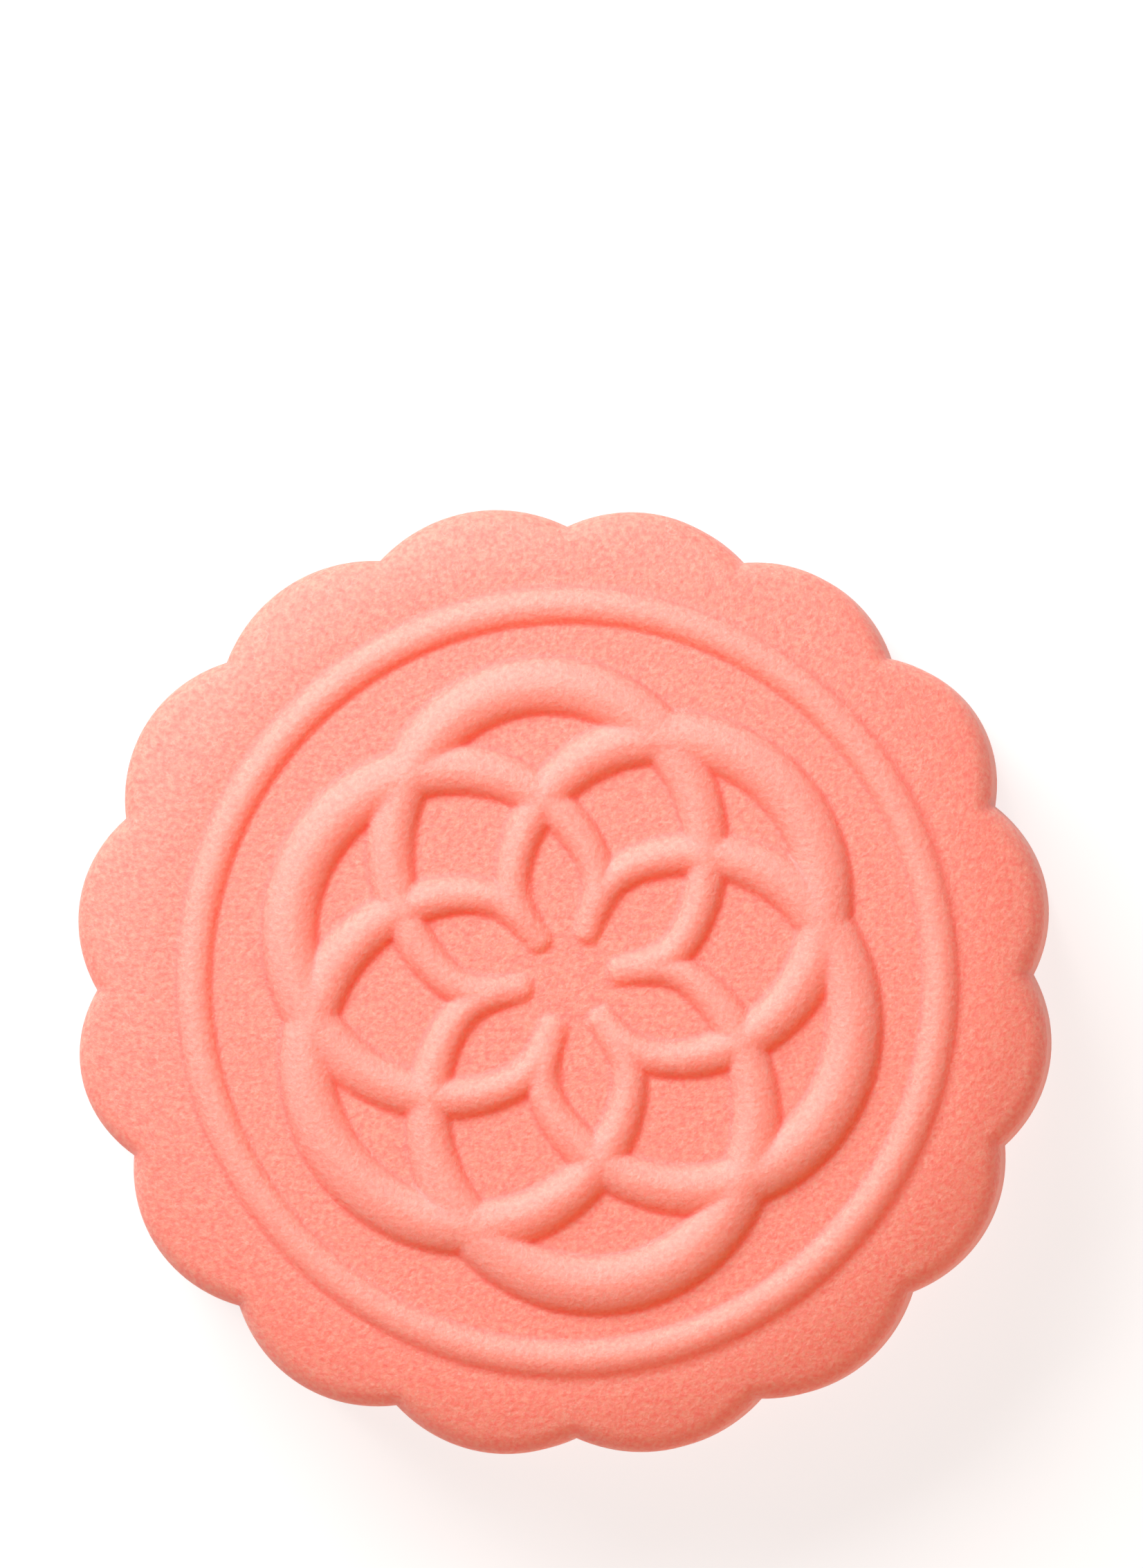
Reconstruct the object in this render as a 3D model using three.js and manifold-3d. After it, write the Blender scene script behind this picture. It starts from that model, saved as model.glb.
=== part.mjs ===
// A mooncake: a round, scalloped cake of smooth coral dough, baked in a mould that leaves a ring
// and a rosette of six interlaced circles standing on its top.
// Units are millimetres, +Z is up, and the origin is the middle of the flat underside.

import * as THREE from 'three';
import { mergeVertices } from 'three/addons/utils/BufferGeometryUtils.js';
import Module from 'manifold-3d';

// Cake: a slightly oval round of sixteen lobes with a gently crowned top. Each lobe has the bearing
// in degrees of the notch it starts from, and the depth by which it stands out from the notches.
// The oval and the lobes fade out inward over their own widths.
const LOBES = [
  { notch: 1, depth: 1.7 }, { notch: 22.5, depth: 2.1 }, { notch: 45, depth: 1.7 },
  { notch: 67, depth: 1.6 }, { notch: 89.5, depth: 1.6 }, { notch: 113.5, depth: 1.5 },
  { notch: 136.5, depth: 1.8 }, { notch: 159.5, depth: 1.7 }, { notch: 181, depth: 1.9 },
  { notch: 202, depth: 1.8 }, { notch: 225, depth: 1.8 }, { notch: 248.5, depth: 1.6 },
  { notch: 271.5, depth: 1.6 }, { notch: 295, depth: 1.6 }, { notch: 318, depth: 1.5 },
  { notch: 339.5, depth: 1.6 },
];
const NOTCH_RADIUS = 33.25;
const MEAN_RADIUS = 34.1;
const OVAL = 0.45;
const OVAL_BEARING = THREE.MathUtils.degToRad(-14);
const CENTRE_HEIGHT = 22.0;
const CROWN_DROP = 1.8;
const BASE_ROUNDING = 1.9;
const SHOULDER_START = 28.6;
const SHOULDER_DROP = 1.0;
const TOP_ROUNDING = 2.2;
const TOP_ROUNDING_START = THREE.MathUtils.degToRad(20);
const OVAL_FADE = 9;
const SCALLOP_FADE = 3.5;

// Ring near the edge of the top
const RING_RADIUS = 27.05;
const RING_SHIFT = new THREE.Vector2(0.37, -0.07);
const RING_HALF_WIDTH = 1.25;
const RING_HEIGHT = 0.72;

// Rosette: six circles round its own middle, each cut a little differently by hand in the mould and
// some drawn out lengthwise. They get finer and lower toward the rosette's middle, and between two
// radii their tips taper to a share of that height. The whole is drawn a little taller than wide.
const CIRCLES = [
  { bearing: 99.9, offset: 9.1, radius: 11.7, longer: 0.25 },
  { bearing: 159.3, offset: 9.25, radius: 11.7, longer: 0 },
  { bearing: 218.3, offset: 9.25, radius: 11.85, longer: 0 },
  { bearing: 279.5, offset: 9.65, radius: 12.05, longer: 0.15 },
  { bearing: 341, offset: 9.2, radius: 11.9, longer: -0.05 },
  { bearing: 39.1, offset: 9.1, radius: 11.45, longer: -0.05 },
];
const ROSETTE_SHIFT = new THREE.Vector2(0.62, 0.11);
const ROSETTE_STRETCH = 1.01;
const RIDGE_TIP_HALF_WIDTH = 0.66;
const RIDGE_WIDENING = 0.0635;
const RIDGE_MIDDLE_HEIGHT = 0.63;
const RIDGE_RISING = 0.028;
const TIP_SHARE = 0.6;
const TIP_TAPER = [3.0, 6.5];
const RIDGE_LAP = 0.1;
const STEM_TIP = 3.6;
const STEM_JOINT = 5.5;
const STEM_BEND = 0.45;

// Fineness of the faceted surfaces
const FACETS_PER_LOBE = 8;
const ROUNDING_FACETS = 3;
const SHOULDER_RINGS = [1, 0.55, 0.1];
const MIDDLE_FACETS = 36;
const CROWN_RINGS = [0.68, 0.36];
const SEAM_OVERLAP = 0.25;
const RING_FACETS = 72;
const RIDGE_SLICES = 36;
const RIDGE_SIDES = 10;
const RIDGE_END_FACETS = 2;

const wasm = await Module();
wasm.setup();

const edgeRadius = MEAN_RADIUS - TOP_ROUNDING * (1 - Math.sin(TOP_ROUNDING_START));
const wellFloor = CENTRE_HEIGHT / 2;

// Bearing of a point of the lobed outline and its radius before the oval. A turn counts lobes.
function outline(turn) {
  const lobe = Math.floor(turn) % LOBES.length;
  const share = turn - Math.floor(turn);
  const { notch, depth } = LOBES[lobe];
  const next = LOBES[(lobe + 1) % LOBES.length].notch;
  const step = THREE.MathUtils.euclideanModulo(next - notch, 360);
  return {
    bearing: THREE.MathUtils.degToRad(notch + share * step),
    radius: NOTCH_RADIUS + depth * (1 - (2 * share - 1) ** 2),
  };
}

// A turned body's radius, drawn out to a slightly oval whole and, near its outside, in and out to
// the lobes
function drawnRadius(radius, edge) {
  const oval = OVAL * Math.cos(2 * (edge.bearing - OVAL_BEARING));
  return radius
    + oval * THREE.MathUtils.smoothstep(radius, MEAN_RADIUS - OVAL_FADE, MEAN_RADIUS)
    + (edge.radius - MEAN_RADIUS)
      * THREE.MathUtils.smoothstep(radius, MEAN_RADIUS - SCALLOP_FADE, MEAN_RADIUS);
}

// Height of the bare top at a distance from the middle: a gentle crown with a round shoulder
function crownHeight(radius) {
  const shoulder = Math.max(0, (radius - SHOULDER_START) / (MEAN_RADIUS - SHOULDER_START));
  return CENTRE_HEIGHT - CROWN_DROP * (radius / MEAN_RADIUS) ** 2 - SHOULDER_DROP * shoulder ** 2;
}

function crownPoint(radius) {
  return new THREE.Vector2(radius, crownHeight(radius));
}

// Keeps only positions, with shared vertices merged and no collapsed triangles
function weld(geometry) {
  geometry.deleteAttribute('normal');
  geometry.deleteAttribute('uv');
  const welded = mergeVertices(geometry);
  const index = welded.getIndex().array;
  const kept = [];
  for (let i = 0; i < index.length; i += 3) {
    const [a, b, c] = [index[i], index[i + 1], index[i + 2]];
    if (a !== b && b !== c && c !== a) kept.push(a, b, c);
  }
  welded.setIndex(kept);
  return welded;
}

function toSolid(geometry) {
  return new wasm.Manifold(new wasm.Mesh({
    numProp: 3,
    vertProperties: Float32Array.from(geometry.getAttribute('position').array),
    triVerts: Uint32Array.from(geometry.getIndex().array),
  }));
}

function toGeometry(solid) {
  const { vertProperties, triVerts } = solid.getMesh();
  const geometry = new THREE.BufferGeometry();
  geometry.setAttribute('position', new THREE.BufferAttribute(vertProperties, 3));
  geometry.setIndex(new THREE.BufferAttribute(triVerts, 1));
  return geometry;
}

// Points of an arc round a centre, without its first point
function arcPoints(centre, radius, fromAngle, toAngle) {
  const points = [];
  for (let i = 1; i <= ROUNDING_FACETS; i++) {
    const angle = THREE.MathUtils.lerp(fromAngle, toAngle, i / ROUNDING_FACETS);
    points.push(new THREE.Vector2(
      centre.x + radius * Math.cos(angle),
      centre.y + radius * Math.sin(angle),
    ));
  }
  return points;
}

// The plain cake out to its edge: a turned body, then its outside drawn in and out to the scalloped
// outline, with its top kept on the round crown. The well in its top is filled by the middle of the
// crown.
function cakeBody() {
  const wallTop = crownHeight(edgeRadius) - TOP_ROUNDING * Math.cos(TOP_ROUNDING_START);
  const baseCentre = new THREE.Vector2(MEAN_RADIUS - BASE_ROUNDING, BASE_ROUNDING);
  const topCentre = new THREE.Vector2(MEAN_RADIUS - TOP_ROUNDING, wallTop);
  const profile = [
    new THREE.Vector2(0, 0),
    new THREE.Vector2(baseCentre.x, 0),
    ...arcPoints(baseCentre, BASE_ROUNDING, -Math.PI / 2, 0),
    new THREE.Vector2(MEAN_RADIUS, wallTop),
    ...arcPoints(topCentre, TOP_ROUNDING, 0, Math.PI / 2 - TOP_ROUNDING_START).slice(0, -1),
    ...SHOULDER_RINGS.map((share) => (
      crownPoint(THREE.MathUtils.lerp(SHOULDER_START, edgeRadius, share)))),
    crownPoint(RING_RADIUS),
    new THREE.Vector2(RING_RADIUS, wellFloor),
    new THREE.Vector2(0, wellFloor),
  ];
  const facets = LOBES.length * FACETS_PER_LOBE;
  const lathe = new THREE.LatheGeometry(profile, facets);
  lathe.rotateX(Math.PI / 2);
  const body = weld(lathe);
  const position = body.getAttribute('position');
  for (let i = 0; i < position.count; i++) {
    const x = position.getX(i);
    const y = position.getY(i);
    const z = position.getZ(i);
    const radius = Math.hypot(x, y);
    const facet = THREE.MathUtils.euclideanModulo(
      Math.round(Math.atan2(y, x) / (2 * Math.PI) * facets), facets,
    );
    const edge = outline(facet / FACETS_PER_LOBE);
    const drawn = drawnRadius(radius, edge);
    const inner = Math.min(radius, edgeRadius);
    const lift = crownHeight(drawnRadius(inner, edge)) - crownHeight(inner);
    const share = THREE.MathUtils.smoothstep(z, 0, CENTRE_HEIGHT - TOP_ROUNDING);
    position.setXYZ(
      i, drawn * Math.cos(edge.bearing), drawn * Math.sin(edge.bearing), z + lift * share,
    );
  }
  return toSolid(body);
}

// The middle of the crown, turned with fewer facets than the edge. It fills the well in the body,
// and the ring covers where the two meet.
function crownMiddle() {
  const radius = RING_RADIUS + SEAM_OVERLAP;
  const lathe = new THREE.LatheGeometry([
    new THREE.Vector2(0, wellFloor - SEAM_OVERLAP),
    new THREE.Vector2(radius, wellFloor - SEAM_OVERLAP),
    crownPoint(radius),
    ...CROWN_RINGS.map((share) => crownPoint(share * radius)),
    new THREE.Vector2(0, CENTRE_HEIGHT),
  ], MIDDLE_FACETS);
  lathe.rotateX(Math.PI / 2);
  return toSolid(weld(lathe));
}

// The ring: a closed oval section turned round the middle, half buried in the crown
function ringRidge() {
  const section = [];
  for (let i = 0; i <= RIDGE_SIDES; i++) {
    const angle = (i + 0.5) / RIDGE_SIDES * 2 * Math.PI;
    const radius = RING_RADIUS + RING_HALF_WIDTH * Math.cos(angle);
    section.push(new THREE.Vector2(radius, crownHeight(radius) + RING_HEIGHT * Math.sin(angle)));
  }
  const lathe = new THREE.LatheGeometry(section, RING_FACETS);
  lathe.rotateX(Math.PI / 2);
  lathe.translate(RING_SHIFT.x, RING_SHIFT.y, 0);
  return toSolid(weld(lathe));
}

// The path of one circle of the rosette, flat, round the rosette's middle. It starts in the stem
// that belongs to the opposite circle, runs out round its far side and back, and is bent where it
// reaches the line between the two circles, to run in along that line as its own stem.
class CirclePath extends THREE.Curve {
  constructor({ bearing, offset, radius, longer }) {
    super();
    this.toward = THREE.MathUtils.degToRad(bearing);
    this.offset = offset;
    this.radius = radius;
    this.longer = longer;
    this.firstTurn = Math.asin(STEM_JOINT / radius) - Math.PI;
    this.lastTurn = Math.PI - Math.asin(STEM_TIP / radius);
  }

  getPoint(share, target = new THREE.Vector2()) {
    const turn = THREE.MathUtils.lerp(this.firstTurn, this.lastTurn, share);
    const radius = this.radius + this.longer * Math.cos(2 * turn);
    const unbent = this.offset + radius * Math.cos(turn);
    const outward = (unbent + Math.hypot(unbent, 2 * STEM_BEND)) / 2;
    target.set(outward, radius * Math.sin(turn));
    return target.rotateAround(new THREE.Vector2(), this.toward);
  }
}

// A round-ended ridge along a circle's path, half buried in the crown. It is a capsule bent along
// the path, and it gets finer and lower toward the rosette's middle. Its end is a touch higher than
// its start, so that each circle laps over the next one.
function rosetteRidge(path) {
  const capsule = weld(new THREE.CapsuleGeometry(
    1, 1, RIDGE_END_FACETS, RIDGE_SIDES, RIDGE_SLICES,
  ));
  capsule.rotateY(Math.PI / RIDGE_SIDES);
  const position = capsule.getAttribute('position');
  for (let i = 0; i < position.count; i++) {
    const along = position.getY(i);
    const inside = THREE.MathUtils.clamp(along, -0.5, 0.5);
    const middle = path.getPoint(inside + 0.5);
    const forward = path.getTangent(inside + 0.5);
    const halfWidth = RIDGE_TIP_HALF_WIDTH + RIDGE_WIDENING * middle.length();
    const taper = THREE.MathUtils.smoothstep(middle.length(), ...TIP_TAPER);
    const height = (RIDGE_MIDDLE_HEIGHT + RIDGE_RISING * middle.length() + RIDGE_LAP * inside)
      * THREE.MathUtils.lerp(TIP_SHARE, 1, taper);
    const side = position.getX(i) * halfWidth;
    const ahead = (along - inside) * halfWidth;
    const across = middle.x + forward.x * ahead + forward.y * side;
    const up = middle.y + forward.y * ahead - forward.x * side;
    const x = ROSETTE_SHIFT.x + across / ROSETTE_STRETCH;
    const y = ROSETTE_SHIFT.y + up * ROSETTE_STRETCH;
    position.setXYZ(i, x, y, crownHeight(Math.hypot(x, y)) + position.getZ(i) * height);
  }
  return toSolid(capsule);
}

function rosetteRidges() {
  return CIRCLES.map((circle) => rosetteRidge(new CirclePath(circle)));
}

const dough = new THREE.MeshStandardMaterial({ color: 0xfa9e8c, roughness: 0.75, metalness: 0 });

const pieces = [crownMiddle(), ringRidge(), ...rosetteRidges()];
const solid = pieces.reduce((whole, piece) => whole.add(piece), cakeBody());
const mooncake = new THREE.Mesh(toGeometry(solid), dough);
mooncake.name = 'mooncake';

const group = new THREE.Group();
group.add(mooncake);

export default group;
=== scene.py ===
"""A round, scalloped mooncake of coral dough with a ring and a rosette in relief, on a white table.

Lengths named here are in millimetres, and MM turns them into Blender's metres. The cake stands on
z = 0 with its middle at the origin, as its solid does.
"""

import math

import bpy
import numpy as np
from mathutils import Matrix, Vector


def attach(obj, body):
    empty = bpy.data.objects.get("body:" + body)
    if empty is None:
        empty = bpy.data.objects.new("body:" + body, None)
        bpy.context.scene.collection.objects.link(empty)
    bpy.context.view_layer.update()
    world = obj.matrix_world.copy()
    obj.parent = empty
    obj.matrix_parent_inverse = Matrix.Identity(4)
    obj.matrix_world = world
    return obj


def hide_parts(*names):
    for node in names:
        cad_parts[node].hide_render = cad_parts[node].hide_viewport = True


MM = 0.001

# Cake: a slightly oval round of sixteen lobes with a gently crowned top. Each lobe has the bearing
# in degrees of the notch it starts from, and the depth by which it stands out from the notches.
# The top is rounded off from EDGE_RADIUS outward. The two fades say how far in from the outside the
# oval and the lobes reach.
LOBES = (
    (1, 1.7), (22.5, 2.1), (45, 1.7), (67, 1.6), (89.5, 1.6), (113.5, 1.5),
    (136.5, 1.8), (159.5, 1.7), (181, 1.9), (202, 1.8), (225, 1.8), (248.5, 1.6),
    (271.5, 1.6), (295, 1.6), (318, 1.5), (339.5, 1.6),
)
NOTCH_RADIUS = 33.25
MEAN_RADIUS = 34.1
OVAL = 0.45
OVAL_BEARING = math.radians(-14)
CENTRE_HEIGHT = 22.0
CROWN_DROP = 1.8
BASE_ROUNDING = 1.9
SHOULDER_START = 28.6
SHOULDER_DROP = 1.0
TOP_ROUNDING = 2.2
TOP_ROUNDING_START = math.radians(20)
EDGE_RADIUS = MEAN_RADIUS - TOP_ROUNDING * (1 - math.sin(TOP_ROUNDING_START))
OVAL_FADE = 9.0
SCALLOP_FADE = 3.5

# Ring near the edge of the top, drawn a touch taller than wide
RING_RADIUS = 27.05
RING_STRETCH = 1.005
RING_SHIFT = (0.37, -0.07)
RING_HALF_WIDTH = 1.25
RING_HEIGHT = 0.72

# Rosette: six circles round its own middle, each cut a little differently by hand in the mould and
# some drawn out lengthwise, as (bearing in degrees, distance of its middle, radius, lengthening).
# They get finer and lower toward the rosette's middle, and between two radii their tips taper to a
# share of that height. Beside the middle, a circle and the one opposite bend into one stem on each
# side, which ends STEM_TIP short of the middle.
CIRCLES = (
    (99.9, 9.1, 11.7, 0.25),
    (159.3, 9.25, 11.7, 0.0),
    (218.3, 9.25, 11.85, 0.0),
    (279.5, 9.65, 12.05, 0.15),
    (341.0, 9.2, 11.9, -0.05),
    (39.1, 9.1, 11.45, -0.05),
)
ROSETTE_SHIFT = (0.62, 0.11)
ROSETTE_STRETCH = 1.01
RIDGE_TIP_HALF_WIDTH = 0.66
RIDGE_WIDENING = 0.0635
RIDGE_MIDDLE_HEIGHT = 0.63
RIDGE_RISING = 0.028
TIP_SHARE = 0.6
TIP_TAPER = (3.0, 6.5)
STEM_TIP = 3.6
STEM_BEND = 0.45
STEM_REACH = 2.0

# Section of every ridge, from 1 for a tent to 2 for an oval, how sharply ridges merge where they
# cross, and how softly the dough follows them. The curvature at a ridge's foot, taken after a
# further blur, brings in painted shade there between two values.
SECTION_POWER = 1.75
MERGE_SHARPNESS = 12
SOFTNESS = 0.08
HOLLOW_BLUR = 0.12
HOLLOW_CURVES = (0.3, 3.5)

# Fineness of the surface mesh: fine out to beyond the ring, with half the segments inside each
# halved radius, and coarse on the shoulder, wall and underside
FINE_SEGMENTS = len(LOBES) * 48
COARSE_SEGMENTS = FINE_SEGMENTS // 2
FINE_STEP = 0.18
FINE_EDGE = RING_RADIUS + RING_HALF_WIDTH + 0.5
HALVING_RADIUS = 15.5
SHOULDER_STEPS = 13
TOP_ROUNDING_STEPS = 10
WALL_STEP = 1.6
BASE_ROUNDING_STEPS = 8
UNDERSIDE_STEPS = 5

# Grid that the relief is worked out on before the mesh reads it, and its reach each way
GRID_STEP = 0.1
GRID_REACH = FINE_EDGE + 1.0

# Photograph: its frame, and the place and size of the cake in it
FRAME_PIXELS = (1652, 2267)
CAKE_PIXEL = (811.5, 1419.5)
PIXELS_PER_MM = 20.07
CAMERA_TILT = math.radians(1.8)
CAMERA_TURN = math.radians(-15)
CAMERA_DISTANCE = 3000.0
CAMERA_CLIP_END = 100000.0

# Table, which lies a hair below the cake so that no two faces share one height
TABLE_HALF_WIDTH = 1500.0
TABLE_GAP = 0.02

# Dough: the tones its grain runs between, on the fields and on what is raised, the raised ones
# painted paler as a painted sheen; the painted shade at a ridge's foot, the tone of the fine marks,
# and how much of that painted shade shows at most
DEEP_TONE = (0.93, 0.08, 0.032, 1)
LIGHT_TONE = (0.95, 0.25, 0.15, 1)
# Raised tones are painted paler than the fields' tones: a painted sheen of the smoother ridges
RAISED_DEEP_TONE_PAINTED_SHEEN = (0.94, 0.182, 0.12, 1)
RAISED_LIGHT_TONE_PAINTED_SHEEN = (0.96, 0.288, 0.215, 1)
# Painted shade for the hollows at the ridges' feet, where shade falls
PAINTED_HOLLOW_SHADE = (0.90, 0.06, 0.02, 1)
MARK_TONE = (0.95, 0.36, 0.27, 1)
PAINTED_HOLLOW_SHADE_SHARE = 0.4

# Noises of the dough, each as (waves for each metre, octaves of detail), and the ranges of them
# that count. Marks are thin lines where their noise is near its middle, and show only in patches.
NOISE_ROUGHNESS = 0.6
GRAIN_NOISE = (2800.0, 4.0)
GRAIN_RANGE = (0.34, 0.66)
MARK_NOISE = (2200.0, 0.0)
MARK_NOISE_MIDDLE = 0.5
MARK_HALF_WIDTH = 0.05
MARK_SHARE = 0.5
PATCH_NOISE = (1100.0, 1.0)
PATCH_RANGE = (0.5, 0.62)
PORE_NOISE = (2600.0, 3.0)
PORE_STRENGTH = 0.5
PORE_DEPTH = 0.2

# Lights: how far the lamps are from the middle of the cake's top, and the linear colour of a warm
# 2700 K lamp
LIGHT_DISTANCE = 1000.0
WARM_LAMP = (1.0, 0.40, 0.10)

def smooth_share(value, start, end):
    """0 before start, 1 after end, and a smooth rise between them."""
    share = np.clip((value - start) / (end - start), 0, 1)
    return share * share * (3 - 2 * share)


def oval_reach(bearing):
    """How far the oval whole stands out from a circle toward a bearing."""
    return OVAL * np.cos(2 * (bearing - OVAL_BEARING))


def outline(turn):
    """Bearing of a point of the lobed outline, where turn counts lobes, and its radius without the
    oval."""
    notches, depths = np.array(LOBES).T
    lobe = np.floor(turn).astype(int)
    share = turn - lobe
    step = (notches[(lobe + 1) % len(LOBES)] - notches[lobe]) % 360
    bearing = np.radians(notches[lobe] + share * step)
    radius = NOTCH_RADIUS + depths[lobe] * (1 - (2 * share - 1) ** 2)
    return bearing, radius


def drawn_radius(nominal, bearing, lobed_radius):
    """A turned body's radius, drawn out to a slightly oval whole and, near its outside, in and out
    to the lobes."""
    oval = smooth_share(nominal, MEAN_RADIUS - OVAL_FADE, MEAN_RADIUS)
    lobed = smooth_share(nominal, MEAN_RADIUS - SCALLOP_FADE, MEAN_RADIUS)
    return nominal + oval_reach(bearing) * oval + (lobed_radius - MEAN_RADIUS) * lobed


def crown_height(radius):
    """Height of the bare top at a distance from the middle: a gentle crown with a round shoulder."""
    shoulder = np.clip((radius - SHOULDER_START) / (MEAN_RADIUS - SHOULDER_START), 0, None)
    return CENTRE_HEIGHT - CROWN_DROP * (radius / MEAN_RADIUS) ** 2 - SHOULDER_DROP * shoulder**2


def ridge(distance, half_width, height):
    """Height of a ridge at a distance from its middle line: round in section, with flanks a little
    straighter than an oval's."""
    share = np.clip(1 - np.abs(distance / half_width) ** SECTION_POWER, 0, None)
    return height * share ** (1 / SECTION_POWER)


def relief(x, y):
    """Height of the ring and the rosette above the bare top, before the dough softens them."""
    ring_x = (x - RING_SHIFT[0]) * RING_STRETCH
    ring_y = (y - RING_SHIFT[1]) / RING_STRETCH
    ring = ridge(np.hypot(ring_x, ring_y) - RING_RADIUS, RING_HALF_WIDTH, RING_HEIGHT)
    u = (x - ROSETTE_SHIFT[0]) * ROSETTE_STRETCH
    v = (y - ROSETTE_SHIFT[1]) / ROSETTE_STRETCH
    radius = np.hypot(u, v)
    half_width = RIDGE_TIP_HALF_WIDTH + RIDGE_WIDENING * radius
    taper = TIP_SHARE + (1 - TIP_SHARE) * smooth_share(radius, *TIP_TAPER)
    height = (RIDGE_MIDDLE_HEIGHT + RIDGE_RISING * radius) * taper
    total = ring**MERGE_SHARPNESS
    for bearing, offset, circle_radius, longer in CIRCLES:
        toward = math.radians(bearing)
        outward = u * math.cos(toward) + v * math.sin(toward)
        beside = np.abs(v * math.cos(toward) - u * math.sin(toward))
        turn = np.arctan2(beside, outward - offset)
        within = circle_radius + longer * np.cos(2 * turn) - np.hypot(outward - offset, beside)
        bent = (within + outward - np.hypot(within - outward, 2 * STEM_BEND)) / 2
        past_tip = np.clip(STEM_TIP - beside, 0, None)
        path = np.where(outward < STEM_REACH, np.hypot(bent, past_tip), np.abs(bent))
        total += ridge(path, half_width, height) ** MERGE_SHARPNESS
    return total ** (1 / MERGE_SHARPNESS)


def blurred(grid, width):
    """A grid blurred evenly all round, by a bell curve cut off at four widths."""
    reach = np.arange(-4 * width, 4 * width + GRID_STEP / 2, GRID_STEP)
    kernel = np.exp(-0.5 * (reach / width) ** 2)
    kernel /= kernel.sum()
    for _ in range(2):
        grid = np.array([np.convolve(row, kernel, mode="same") for row in grid]).T
    return grid


GRID_AXIS = np.arange(-GRID_REACH, GRID_REACH + GRID_STEP / 2, GRID_STEP)
SOFT_RELIEF = blurred(relief(*np.meshgrid(GRID_AXIS, GRID_AXIS)), SOFTNESS)
SLOPES = np.gradient(blurred(SOFT_RELIEF, HOLLOW_BLUR), GRID_STEP)
HOLLOWNESS = np.gradient(SLOPES[0], GRID_STEP)[0] + np.gradient(SLOPES[1], GRID_STEP)[1]


def read_grid(grid, x, y):
    """Values of a grid at places between its points. A place beyond the grid reads its edge, which
    lies just before its last point."""
    edge = len(GRID_AXIS) - 1.001
    column = np.clip((x + GRID_REACH) / GRID_STEP, 0, edge)
    row = np.clip((y + GRID_REACH) / GRID_STEP, 0, edge)
    i, j = row.astype(int), column.astype(int)
    down, right = row - i, column - j
    near = grid[i, j] * (1 - right) + grid[i, j + 1] * right
    far = grid[i + 1, j] * (1 - right) + grid[i + 1, j + 1] * right
    return near * (1 - down) + far * down


def ring_counts(nominal):
    """Segments round a ring of the mesh, halved as the rings get smaller."""
    count = FINE_SEGMENTS
    fine_radius = HALVING_RADIUS
    while nominal < fine_radius and count > len(LOBES):
        count //= 2
        fine_radius /= 2
    return count


def ring_list():
    """(nominal radius, height, segments) from the middle of the top out, down the wall and back to
    the middle of the underside."""
    wall_top = float(crown_height(EDGE_RADIUS)) - TOP_ROUNDING * math.cos(TOP_ROUNDING_START)
    rings = []
    for nominal in np.arange(FINE_STEP, FINE_EDGE, FINE_STEP):
        rings.append((nominal, float(crown_height(nominal)), ring_counts(nominal)))
    for nominal in np.linspace(FINE_EDGE, EDGE_RADIUS, SHOULDER_STEPS + 1)[1:-1]:
        rings.append((nominal, float(crown_height(nominal)), COARSE_SEGMENTS))
    for angle in np.linspace(math.pi / 2 - TOP_ROUNDING_START, 0, TOP_ROUNDING_STEPS + 1):
        nominal = MEAN_RADIUS - TOP_ROUNDING * (1 - math.cos(angle))
        rings.append((nominal, wall_top + TOP_ROUNDING * math.sin(angle), COARSE_SEGMENTS))
    for height in np.arange(wall_top - WALL_STEP, BASE_ROUNDING, -WALL_STEP):
        rings.append((MEAN_RADIUS, height, COARSE_SEGMENTS))
    for angle in np.linspace(0, math.pi / 2, BASE_ROUNDING_STEPS + 1):
        nominal = MEAN_RADIUS - BASE_ROUNDING * (1 - math.cos(angle))
        rings.append((nominal, BASE_ROUNDING * (1 - math.sin(angle)), COARSE_SEGMENTS))
    for nominal in np.linspace(MEAN_RADIUS - BASE_ROUNDING, 0, UNDERSIDE_STEPS + 1)[1:-1]:
        rings.append((nominal, 0.0, COARSE_SEGMENTS))
    return rings


def stitch(outer, inner):
    """Faces between two rings of vertex numbers with equal counts, or one with twice the other's."""
    if len(outer) == len(inner):
        return [(inner[i - 1], outer[i - 1], outer[i], inner[i]) for i in range(len(outer))]
    fine, coarse = (outer, inner) if len(outer) > len(inner) else (inner, outer)
    faces = []
    for i in range(len(coarse)):
        j = (i + 1) % len(coarse)
        a, b, c = fine[2 * i], fine[2 * i + 1], fine[(2 * i + 2) % len(fine)]
        faces += [(coarse[i], a, b), (coarse[i], b, coarse[j]), (coarse[j], b, c)]
    if fine is inner:
        faces = [face[::-1] for face in faces]
    return faces


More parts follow.
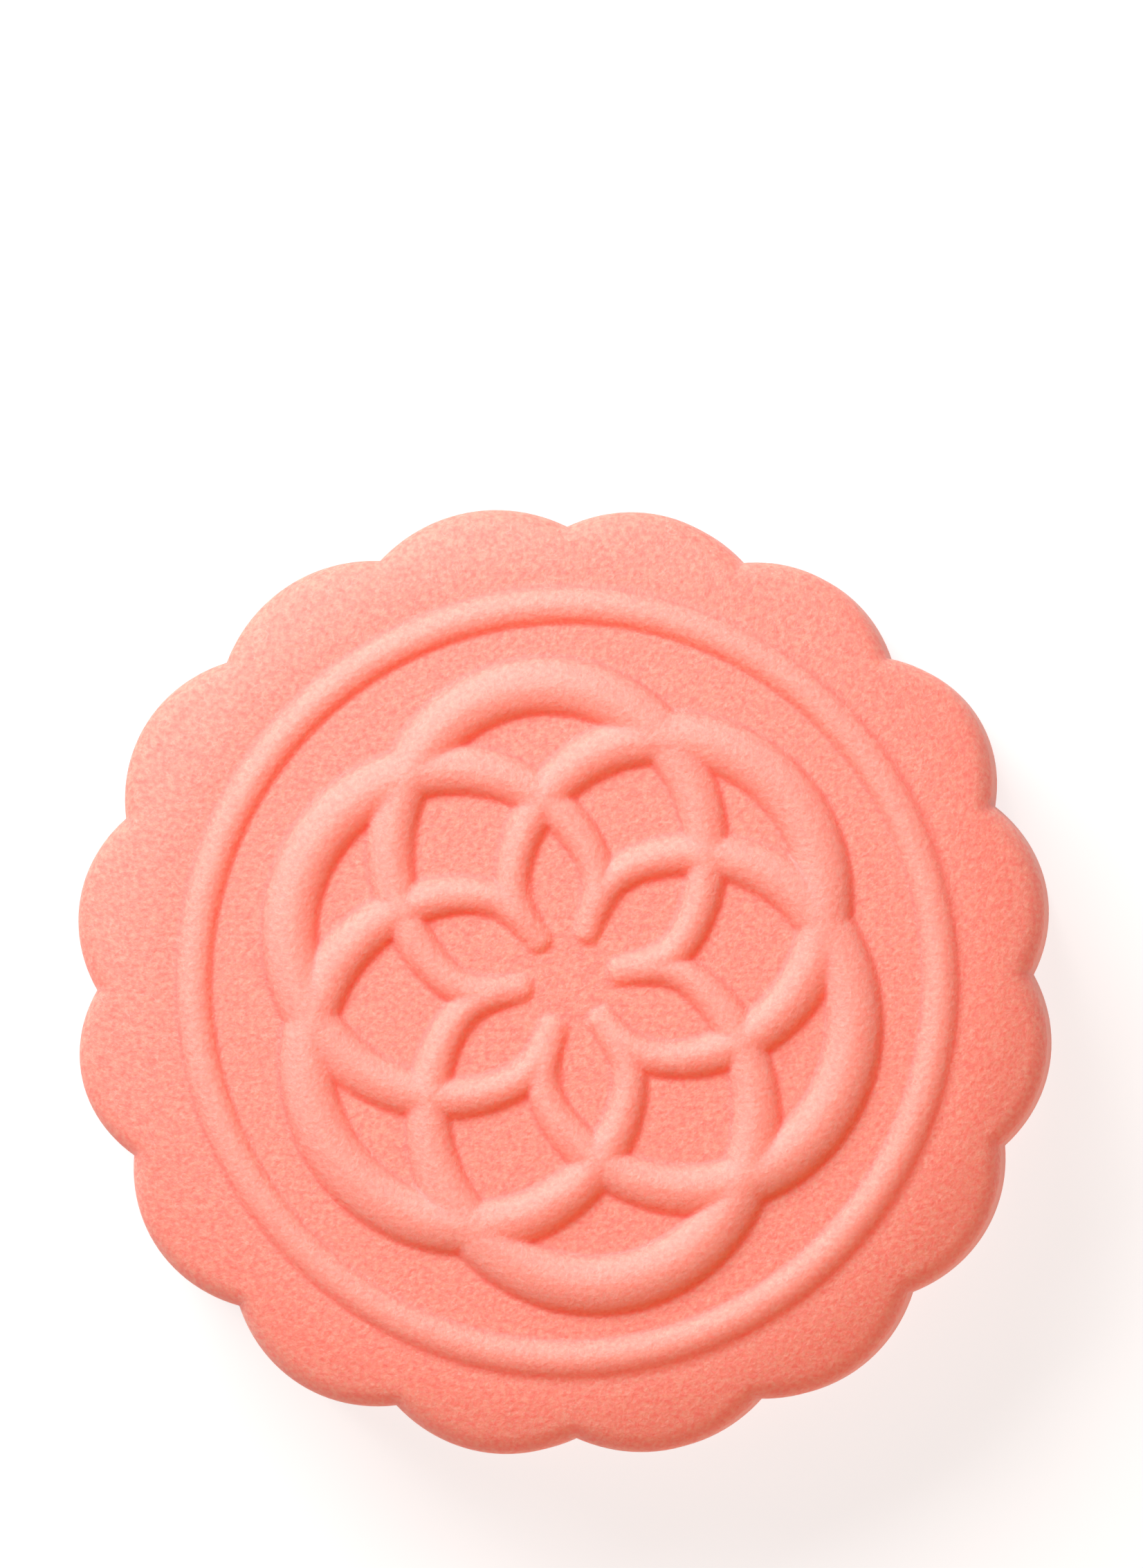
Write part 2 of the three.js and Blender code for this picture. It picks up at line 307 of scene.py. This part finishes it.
def cake_piece():
    """The whole surface of the cake as one closed mesh. Its points know how far they are raised, as
    a share of the ring's height, and how much painted shade they take at the feet of ridges."""
    points = [(0.0, 0.0, crown_height(0.0))]
    raised, painted_hollow_shade = [0.0], [0.0]
    rings = []
    for nominal, height, count in ring_list():
        bearing, lobed_radius = outline(np.arange(count) * len(LOBES) / count)
        radius = drawn_radius(nominal, bearing, lobed_radius)
        x, y = radius * np.cos(bearing), radius * np.sin(bearing)
        inner = min(nominal, EDGE_RADIUS)
        lift = crown_height(drawn_radius(inner, bearing, lobed_radius)) - crown_height(inner)
        z = height + lift * smooth_share(height, 0, CENTRE_HEIGHT - TOP_ROUNDING)
        on_top = height > CENTRE_HEIGHT / 2
        rise = read_grid(SOFT_RELIEF, x, y) * on_top
        rings.append(range(len(points), len(points) + count))
        points += list(zip(x, y, z + rise))
        raised += list(rise / RING_HEIGHT)
        # Share of painted shade, from the curvature of the hollows at the ridges' feet
        painted_hollow_shade += list(smooth_share(read_grid(HOLLOWNESS, x, y), *HOLLOW_CURVES) * on_top)
    points.append((0.0, 0.0, 0.0))
    faces = [(0, rings[0][i - 1], rings[0][i]) for i in range(len(rings[0]))]
    for inner, outer in zip(rings, rings[1:]):
        faces += stitch(outer, inner)
    last = len(points) - 1
    faces += [(last, rings[-1][i], rings[-1][i - 1]) for i in range(len(rings[-1]))]
    mesh = bpy.data.meshes.new("cake")
    mesh.from_pydata((np.array(points) * MM).tolist(), [], faces)
    mesh.shade_smooth()
    for name, values in (("raised", raised), ("painted_hollow_shade", painted_hollow_shade)):
        attribute = mesh.attributes.new(name, "FLOAT", "POINT")
        attribute.data.foreach_set("value", np.clip([*values, 0.0], 0, 1))
    piece = bpy.data.objects.new("cake", mesh)
    bpy.context.scene.collection.objects.link(piece)
    return piece


def add_node(tree, kind, inputs=(), **settings):
    """A new shader node with its settings and its unlinked input values."""
    node = tree.nodes.new(kind)
    for name, value in settings.items():
        setattr(node, name, value)
    for name, value in dict(inputs).items():
        node.inputs[name].default_value = value
    return node


def noise(tree, place, scale, detail):
    """A cloudy value over the dough, from 0 to 1."""
    inputs = {"Scale": scale, "Detail": detail, "Roughness": NOISE_ROUGHNESS}
    clouds = add_node(tree, "ShaderNodeTexNoise", inputs)
    tree.links.new(place, clouds.inputs["Vector"])
    return clouds.outputs["Fac"]


def noise_between(tree, place, scale, detail, low, high):
    """A cloudy share, 0 where the noise is below low and 1 where it is above high."""
    share = add_node(tree, "ShaderNodeMapRange", {"From Min": low, "From Max": high})
    tree.links.new(noise(tree, place, scale, detail), share.inputs["Value"])
    return share.outputs["Result"]


def mixed_tone(tree, share, first, second):
    """A colour between two, each a fixed tone or another node's output."""
    mix = add_node(tree, "ShaderNodeMix", data_type="RGBA")
    tree.links.new(share, mix.inputs["Factor"])
    for socket, tone in ((mix.inputs["A"], first), (mix.inputs["B"], second)):
        if isinstance(tone, tuple):
            socket.default_value = tone
        else:
            tree.links.new(tone, socket)
    return mix.outputs["Result"]


def combined(tree, operation, first, second):
    """Two values worked into one, the second a fixed number or another node's output."""
    node = add_node(tree, "ShaderNodeMath", operation=operation)
    tree.links.new(first, node.inputs[0])
    if isinstance(second, float):
        node.inputs[1].default_value = second
    else:
        tree.links.new(second, node.inputs[1])
    return node.outputs["Value"]


def dough_material():
    """Soft, fine-grained coral dough with a broad pale sheen. What is raised is painted paler, a
    painted sheen, and its grain more even; at the foot of what is raised it takes painted shade."""
    material = bpy.data.materials.new("coral_dough")
    material.use_nodes = True
    tree = material.node_tree
    shader = tree.nodes["Principled BSDF"]
    place = add_node(tree, "ShaderNodeTexCoord").outputs["Object"]
    raised = add_node(tree, "ShaderNodeAttribute", attribute_name="raised").outputs["Fac"]
    painted_hollow_shade = add_node(tree, "ShaderNodeAttribute", attribute_name="painted_hollow_shade").outputs["Fac"]

    grain = noise_between(tree, place, *GRAIN_NOISE, *GRAIN_RANGE)
    # On what is raised the grain runs between paler tones, a painted sheen
    deep = mixed_tone(tree, raised, DEEP_TONE, RAISED_DEEP_TONE_PAINTED_SHEEN)
    light = mixed_tone(tree, raised, LIGHT_TONE, RAISED_LIGHT_TONE_PAINTED_SHEEN)
    body = mixed_tone(tree, grain, deep, light)
    # Painted shade laid over the dough in the hollows at the ridges' feet
    painted_shade_share = combined(tree, "MULTIPLY", painted_hollow_shade, PAINTED_HOLLOW_SHADE_SHARE)
    body = mixed_tone(tree, painted_shade_share, body, PAINTED_HOLLOW_SHADE)
    wander = noise(tree, place, *MARK_NOISE)
    from_middle = combined(tree, "SUBTRACT", wander, MARK_NOISE_MIDDLE)
    fading = {"From Max": MARK_HALF_WIDTH, "To Min": MARK_SHARE, "To Max": 0.0}
    lines = add_node(tree, "ShaderNodeMapRange", fading)
    tree.links.new(combined(tree, "ABSOLUTE", from_middle, 0.0), lines.inputs["Value"])
    patches = noise_between(tree, place, *PATCH_NOISE, *PATCH_RANGE)
    marks = combined(tree, "MULTIPLY", lines.outputs["Result"], patches)
    tree.links.new(mixed_tone(tree, marks, body, MARK_TONE), shader.inputs["Base Color"])

    depth = {"Strength": PORE_STRENGTH, "Distance": PORE_DEPTH * MM}
    bump = add_node(tree, "ShaderNodeBump", depth)
    tree.links.new(noise(tree, place, *PORE_NOISE), bump.inputs["Height"])
    tree.links.new(bump.outputs["Normal"], shader.inputs["Normal"])

    shader.inputs["Roughness"].default_value = 0.82
    shader.inputs["IOR"].default_value = 2.25
    shader.inputs["Specular IOR Level"].default_value = 1.0
    shader.inputs["Subsurface Weight"].default_value = 1.0
    shader.inputs["Subsurface Radius"].default_value = (5.0, 1.5, 1.0)
    shader.inputs["Subsurface Scale"].default_value = 1.0 * MM
    return material


def table():
    """A plain white table top, far larger than the view. It glows a little, so that it stays white
    and the cake's shadow on it faint."""
    mesh = bpy.data.meshes.new("table_top")
    half, level = TABLE_HALF_WIDTH * MM, -TABLE_GAP * MM
    corners = [(x * half, y * half, level) for x, y in ((-1, -1), (1, -1), (1, 1), (-1, 1))]
    mesh.from_pydata(corners, [], [(0, 1, 2, 3)])
    top = bpy.data.objects.new("table_top", mesh)
    bpy.context.scene.collection.objects.link(top)
    material = bpy.data.materials.new("white_table")
    material.use_nodes = True
    shader = material.node_tree.nodes["Principled BSDF"]
    shader.inputs["Base Color"].default_value = (0.28, 0.28, 0.28, 1)
    shader.inputs["Roughness"].default_value = 0.8
    shader.inputs["Emission Color"].default_value = (1, 1, 1, 1)
    shader.inputs["Emission Strength"].default_value = 0.78
    mesh.materials.append(material)


def area_light(name, azimuth, elevation, size, power, colour=(1, 1, 1)):
    """A square soft light, its size in metres and its power in watts, that looks at the middle of
    the cake's top from LIGHT_DISTANCE away."""
    light = bpy.data.lights.new(name, "AREA")
    light.color = colour
    light.size = size
    light.energy = power
    target = Vector((0, 0, CENTRE_HEIGHT * MM))
    around, up = math.radians(azimuth), math.radians(elevation)
    away = Vector((math.cos(up) * math.cos(around), math.cos(up) * math.sin(around), math.sin(up)))
    lamp = bpy.data.objects.new(name, light)
    lamp.location = target + away * (LIGHT_DISTANCE * MM)
    lamp.rotation_euler = (-away).to_track_quat("-Z", "Y").to_euler()
    bpy.context.scene.collection.objects.link(lamp)


def lights():
    """A white main light from the upper left of the photograph, a warm one from the lower right and
    a dim, pale warm surrounding."""
    area_light("key", azimuth=124, elevation=44, size=0.7, power=16.8)
    area_light("warm_fill", azimuth=304, elevation=40, size=1.2, power=5.0, colour=WARM_LAMP)
    world = bpy.data.worlds.new("studio")
    world.use_nodes = True
    background = world.node_tree.nodes["Background"]
    background.inputs["Color"].default_value = (1.0, 0.8, 0.65, 1)
    background.inputs["Strength"].default_value = 0.03
    bpy.context.scene.world = world


def camera():
    """The photograph's view: nearly straight down through a long lens."""
    data = bpy.data.cameras.new("camera")
    data.clip_end = CAMERA_CLIP_END * MM
    height = FRAME_PIXELS[1] / PIXELS_PER_MM
    data.lens = data.sensor_width * CAMERA_DISTANCE / height
    right = (FRAME_PIXELS[0] / 2 - CAKE_PIXEL[0]) / PIXELS_PER_MM
    up = (CAKE_PIXEL[1] - FRAME_PIXELS[1] / 2) / PIXELS_PER_MM
    target = Vector((right, up, CENTRE_HEIGHT)) * MM
    lean = Matrix.Rotation(CAMERA_TURN, 4, "Z") @ Matrix.Rotation(CAMERA_TILT, 4, "Y")
    away = lean @ Vector((0, 0, 1))
    view = Matrix.Translation(target + away * CAMERA_DISTANCE * MM)
    view = view @ lean @ Matrix.Rotation(-CAMERA_TURN, 4, "Z")
    eye = bpy.data.objects.new("camera", data)
    eye.matrix_world = view
    bpy.context.scene.collection.objects.link(eye)
    bpy.context.scene.camera = eye


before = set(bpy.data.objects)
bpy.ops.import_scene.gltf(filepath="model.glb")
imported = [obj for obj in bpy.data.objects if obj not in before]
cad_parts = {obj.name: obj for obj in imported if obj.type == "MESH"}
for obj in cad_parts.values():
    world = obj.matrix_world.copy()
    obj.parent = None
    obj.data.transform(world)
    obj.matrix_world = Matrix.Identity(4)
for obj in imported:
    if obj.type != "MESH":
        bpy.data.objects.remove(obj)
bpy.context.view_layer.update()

cake = cake_piece()
cake.data.materials.append(dough_material())
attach(cake, "root")
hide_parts("mooncake")

table()
lights()
camera()
bpy.context.scene.view_settings.view_transform = "Standard"
